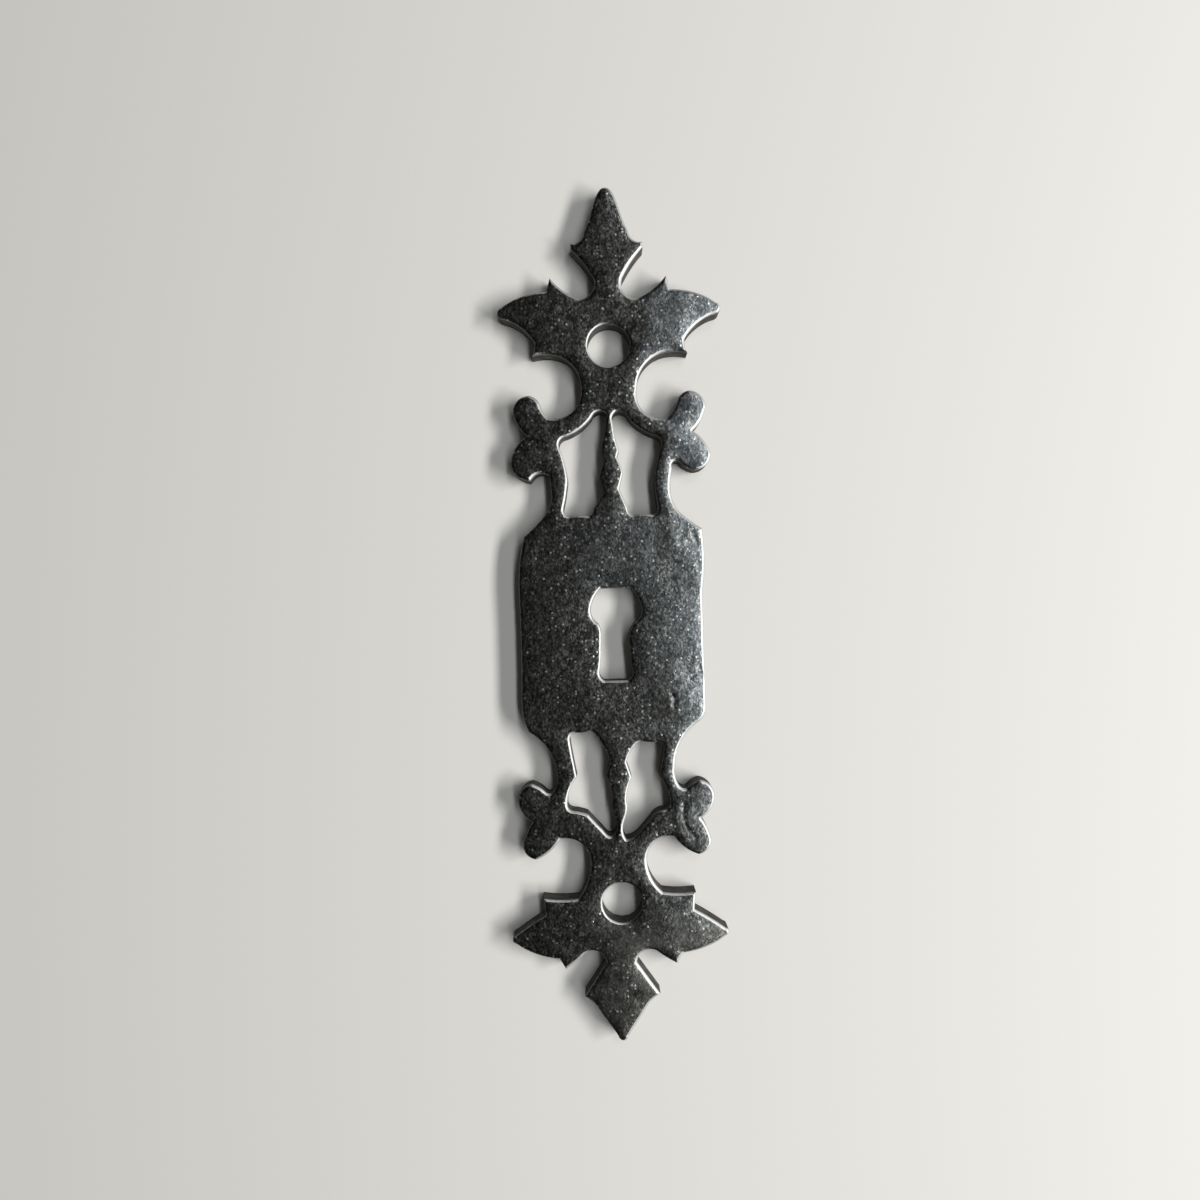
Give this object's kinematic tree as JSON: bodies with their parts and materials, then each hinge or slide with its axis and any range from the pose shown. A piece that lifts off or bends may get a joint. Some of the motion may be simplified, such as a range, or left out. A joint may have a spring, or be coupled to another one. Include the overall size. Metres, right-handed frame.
{
  "type": "keyhole escutcheon",
  "caption": "Blackened cast iron keyhole escutcheon with pierced scrolls, two small balusters, leaf crosses at both ends and a screw hole in each cross.",
  "frame": {"origin": "middle of the plate's length and width, on its flat back", "axes": "+Z out of the front face, +Y along the length towards the upper cross, +X to the right seen from the front"},
  "size_m": [0.0368, 0.14, 0.0038],
  "materials": {
    "blackened_iron": "blackened and waxed, finely speckled where the iron shows through"
  },
  "bodies": {
    "root": {"escutcheon_plate": "blackened_iron"}
  },
  "joints": []
}
